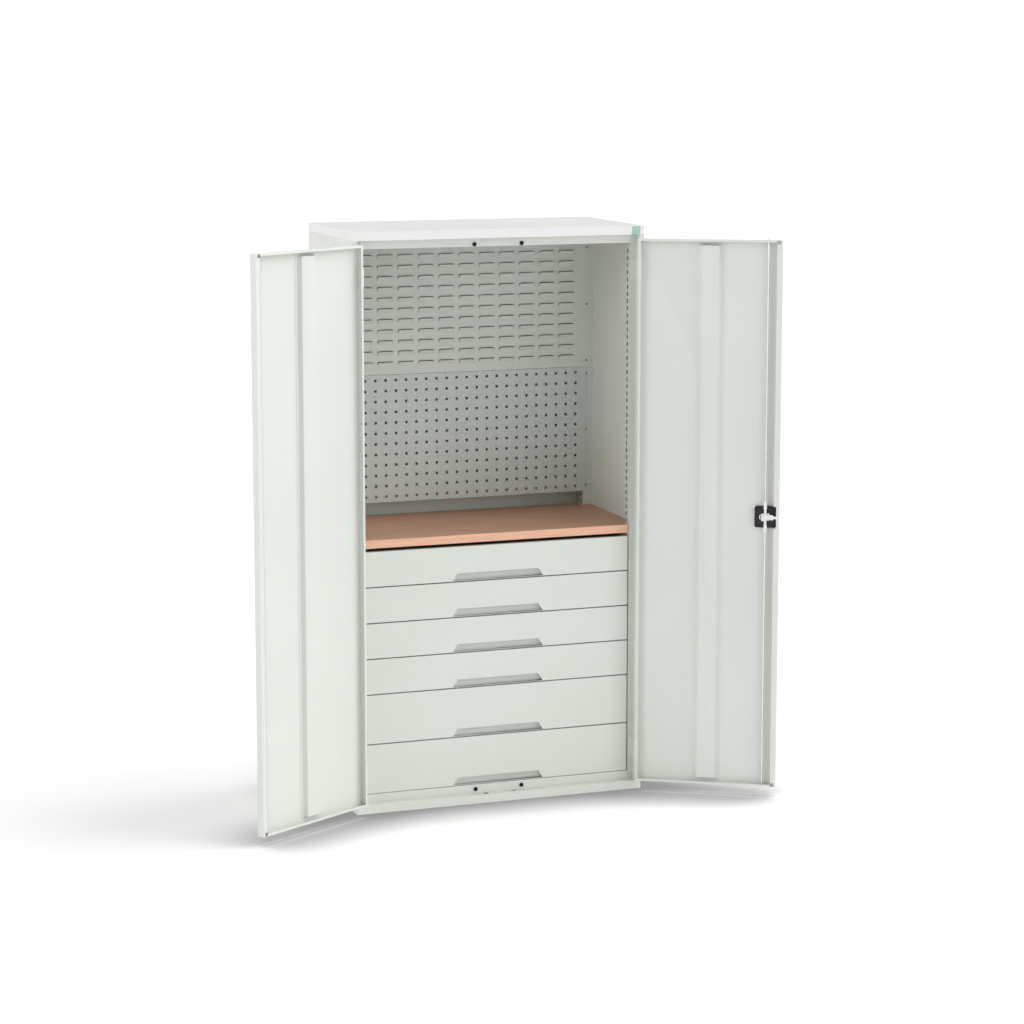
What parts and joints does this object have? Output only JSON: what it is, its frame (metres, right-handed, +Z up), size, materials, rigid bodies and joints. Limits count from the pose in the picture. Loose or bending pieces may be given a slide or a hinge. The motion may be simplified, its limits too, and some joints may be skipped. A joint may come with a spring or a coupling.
{
  "type": "tool cabinet with doors",
  "caption": "Tall steel tool cabinet with two open hinged doors, drawers on telescopic runners, a wooden worktop, and louvred and perforated tool panels.",
  "frame": {"origin": "on the floor, at the middle of the carcass footprint", "axes": "+Z up, +Y from the open front to the back wall, +X to the right of a person facing the front"},
  "size_m": [1.8764, 0.8229, 2],
  "materials": {
    "carcass_paint": "light grey powder coat, fine texture, satin",
    "door_paint": "light grey powder coat, fine texture, satin",
    "top_paint": "light grey powder coat, seen from above, satin",
    "zinc_steel": "bright zinc-plated steel, satin",
    "bolt_paint": "off-white coated steel, satin",
    "polished_plug": "nickel-plated, bright",
    "black_plastic": "black moulded plastic, fine grain",
    "black_rubber": "black rubber, matt",
    "beech_wood": "oiled multiplex beech",
    "green_plate": "pale green coated plate, satin"
  },
  "bodies": {
    "cabinet": {"side_panel_left": "carcass_paint", "side_panel_right": "carcass_paint", "back_wall": "carcass_paint", "top_cap": "top_paint", "base_tray": "carcass_paint", "front_uprights": "carcass_paint", "rear_uprights": "carcass_paint", "front_rails": "carcass_paint", "door_bumpers": "black_rubber", "carcass_hinge_leaves": "carcass_paint", "hinge_pins": "zinc_steel", "louvre_panel": "carcass_paint", "perforated_panel": "carcass_paint", "panel_screws": "zinc_steel", "worktop": "beech_wood", "worktop_angles": "carcass_paint", "fixed_runners": "zinc_steel", "badge_plate": "green_plate"},
    "door_left": {"door_left_skin": "door_paint", "door_left_stiffener": "door_paint", "door_left_hinge_leaves": "door_paint"},
    "door_right": {"door_right_skin": "door_paint", "door_right_stiffener": "door_paint", "door_right_hinge_leaves": "door_paint", "lock_case": "black_plastic", "rod_bushes": "black_plastic", "handle_rose": "black_plastic"},
    "handle": {"door_handle": "black_plastic", "lock_hub": "zinc_steel", "hub_screw": "zinc_steel"},
    "lock_plug": {"lock_plug": "polished_plug"},
    "upper_rod": {"upper_lock_rod": "zinc_steel"},
    "lower_rod": {"lower_lock_rod": "zinc_steel"},
    "side_bolt": {"side_bolt": "bolt_paint"},
    "drawer_1": {"drawer_1_front": "carcass_paint", "drawer_1_box": "carcass_paint", "drawer_1_inner_runners": "zinc_steel"},
    "drawer_1_middle": {"drawer_1_middle_runners": "zinc_steel"},
    "drawer_2": {"drawer_2_front": "carcass_paint", "drawer_2_box": "carcass_paint", "drawer_2_inner_runners": "zinc_steel"},
    "drawer_2_middle": {"drawer_2_middle_runners": "zinc_steel"},
    "drawer_3": {"drawer_3_front": "carcass_paint", "drawer_3_box": "carcass_paint", "drawer_3_inner_runners": "zinc_steel"},
    "drawer_3_middle": {"drawer_3_middle_runners": "zinc_steel"},
    "drawer_4": {"drawer_4_front": "carcass_paint", "drawer_4_box": "carcass_paint", "drawer_4_inner_runners": "zinc_steel"},
    "drawer_4_middle": {"drawer_4_middle_runners": "zinc_steel"},
    "drawer_5": {"drawer_5_front": "carcass_paint", "drawer_5_box": "carcass_paint", "drawer_5_inner_runners": "zinc_steel"},
    "drawer_5_middle": {"drawer_5_middle_runners": "zinc_steel"},
    "drawer_6": {"drawer_6_front": "carcass_paint", "drawer_6_box": "carcass_paint", "drawer_6_inner_runners": "zinc_steel"},
    "drawer_6_middle": {"drawer_6_middle_runners": "zinc_steel"}
  },
  "joints": [
    {"name": "left_door_hinge", "type": "hinge", "parent": "cabinet", "child": "door_left", "pos_m": [-0.5035, -0.274, 0.996], "axis": [0, 0, -1], "range_deg": [-150, 10]},
    {"name": "right_door_hinge", "type": "hinge", "parent": "cabinet", "child": "door_right", "pos_m": [0.5035, -0.274, 0.996], "axis": [0, 0, 1], "range_deg": [-150, 10]},
    {"name": "handle_turn", "type": "hinge", "parent": "door_right", "child": "handle", "pos_m": [0.89538, -0.50025, 0.996], "axis": [-0.5, -0.866, 0], "range_deg": [0, 90]},
    {"name": "key_turn", "type": "hinge", "parent": "handle", "child": "lock_plug", "pos_m": [0.89538, -0.50025, 0.996], "axis": [-0.5, -0.866, 0], "range_deg": [0, 90]},
    {"name": "upper_rod_slide", "type": "slide", "parent": "door_right", "child": "upper_rod", "axis": [0, 0, 1], "range_m": [0, 0.01344]},
    {"name": "lower_rod_slide", "type": "slide", "parent": "door_right", "child": "lower_rod", "axis": [0, 0, -1], "range_m": [0, 0.01354]},
    {"name": "side_bolt_slide", "type": "slide", "parent": "door_right", "child": "side_bolt", "axis": [0.866, -0.5, 0], "range_m": [0, 0.01354]},
    {"name": "drawer_1_slide", "type": "slide", "parent": "cabinet", "child": "drawer_1", "axis": [0, -1, 0], "range_m": [0, 0.43]},
    {"name": "drawer_1_middle_slide", "type": "slide", "parent": "cabinet", "child": "drawer_1_middle", "axis": [0, -1, 0], "range_m": [0, 0.215]},
    {"name": "drawer_2_slide", "type": "slide", "parent": "cabinet", "child": "drawer_2", "axis": [0, -1, 0], "range_m": [0, 0.43]},
    {"name": "drawer_2_middle_slide", "type": "slide", "parent": "cabinet", "child": "drawer_2_middle", "axis": [0, -1, 0], "range_m": [0, 0.215]},
    {"name": "drawer_3_slide", "type": "slide", "parent": "cabinet", "child": "drawer_3", "axis": [0, -1, 0], "range_m": [0, 0.43]},
    {"name": "drawer_3_middle_slide", "type": "slide", "parent": "cabinet", "child": "drawer_3_middle", "axis": [0, -1, 0], "range_m": [0, 0.215]},
    {"name": "drawer_4_slide", "type": "slide", "parent": "cabinet", "child": "drawer_4", "axis": [0, -1, 0], "range_m": [0, 0.43]},
    {"name": "drawer_4_middle_slide", "type": "slide", "parent": "cabinet", "child": "drawer_4_middle", "axis": [0, -1, 0], "range_m": [0, 0.215]},
    {"name": "drawer_5_slide", "type": "slide", "parent": "cabinet", "child": "drawer_5", "axis": [0, -1, 0], "range_m": [0, 0.43]},
    {"name": "drawer_5_middle_slide", "type": "slide", "parent": "cabinet", "child": "drawer_5_middle", "axis": [0, -1, 0], "range_m": [0, 0.215]},
    {"name": "drawer_6_slide", "type": "slide", "parent": "cabinet", "child": "drawer_6", "axis": [0, -1, 0], "range_m": [0, 0.43]},
    {"name": "drawer_6_middle_slide", "type": "slide", "parent": "cabinet", "child": "drawer_6_middle", "axis": [0, -1, 0], "range_m": [0, 0.215]}
  ],
  "couplings": [
    {"joint": "handle_turn", "follows": "upper_rod_slide", "rad_per_m": 116.92},
    {"joint": "lower_rod_slide", "follows": "upper_rod_slide", "ratio": 1},
    {"joint": "side_bolt_slide", "follows": "upper_rod_slide", "ratio": 1},
    {"joint": "drawer_1_middle_slide", "follows": "drawer_1_slide", "ratio": 0.5},
    {"joint": "drawer_2_middle_slide", "follows": "drawer_2_slide", "ratio": 0.5},
    {"joint": "drawer_3_middle_slide", "follows": "drawer_3_slide", "ratio": 0.5},
    {"joint": "drawer_4_middle_slide", "follows": "drawer_4_slide", "ratio": 0.5},
    {"joint": "drawer_5_middle_slide", "follows": "drawer_5_slide", "ratio": 0.5},
    {"joint": "drawer_6_middle_slide", "follows": "drawer_6_slide", "ratio": 0.5}
  ]
}
